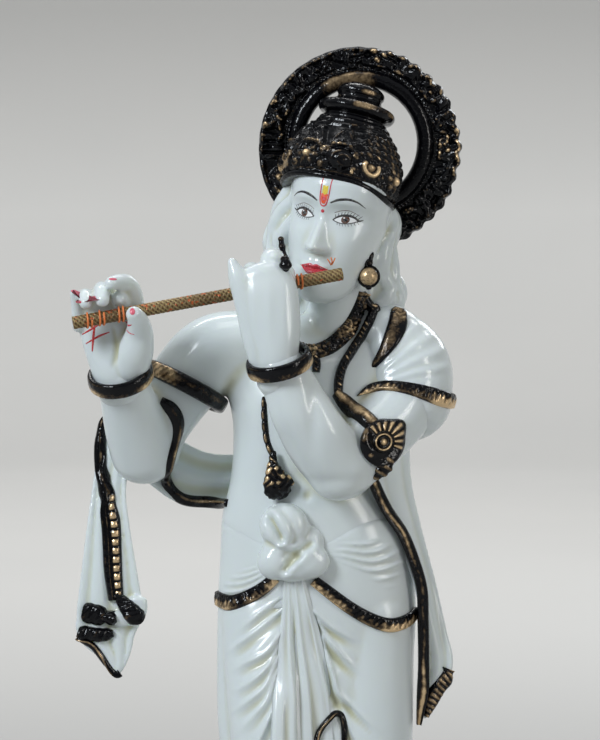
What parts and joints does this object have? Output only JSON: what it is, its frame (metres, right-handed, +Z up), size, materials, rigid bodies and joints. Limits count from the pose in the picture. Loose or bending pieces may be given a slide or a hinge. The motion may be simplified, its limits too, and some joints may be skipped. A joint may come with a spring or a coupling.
{
  "type": "krishna figurine",
  "caption": "Cast white figurine of a standing flute player with tall crown, halo ring and draped shawl, trimmed in black and gold, on a low round plinth.",
  "frame": {"origin": "centre of the plinth's flat underside", "axes": "+Z up the figure, -Y out of its front, +X to the viewer's right"},
  "size_m": [0.1402, 0.1, 0.3988],
  "materials": {
    "white_resin": "gloss",
    "black_gold": "gloss",
    "braid": null,
    "red_thread": null
  },
  "bodies": {
    "root": {"figure": "white_resin", "plinth": "black_gold", "flute": "braid"}
  },
  "joints": []
}
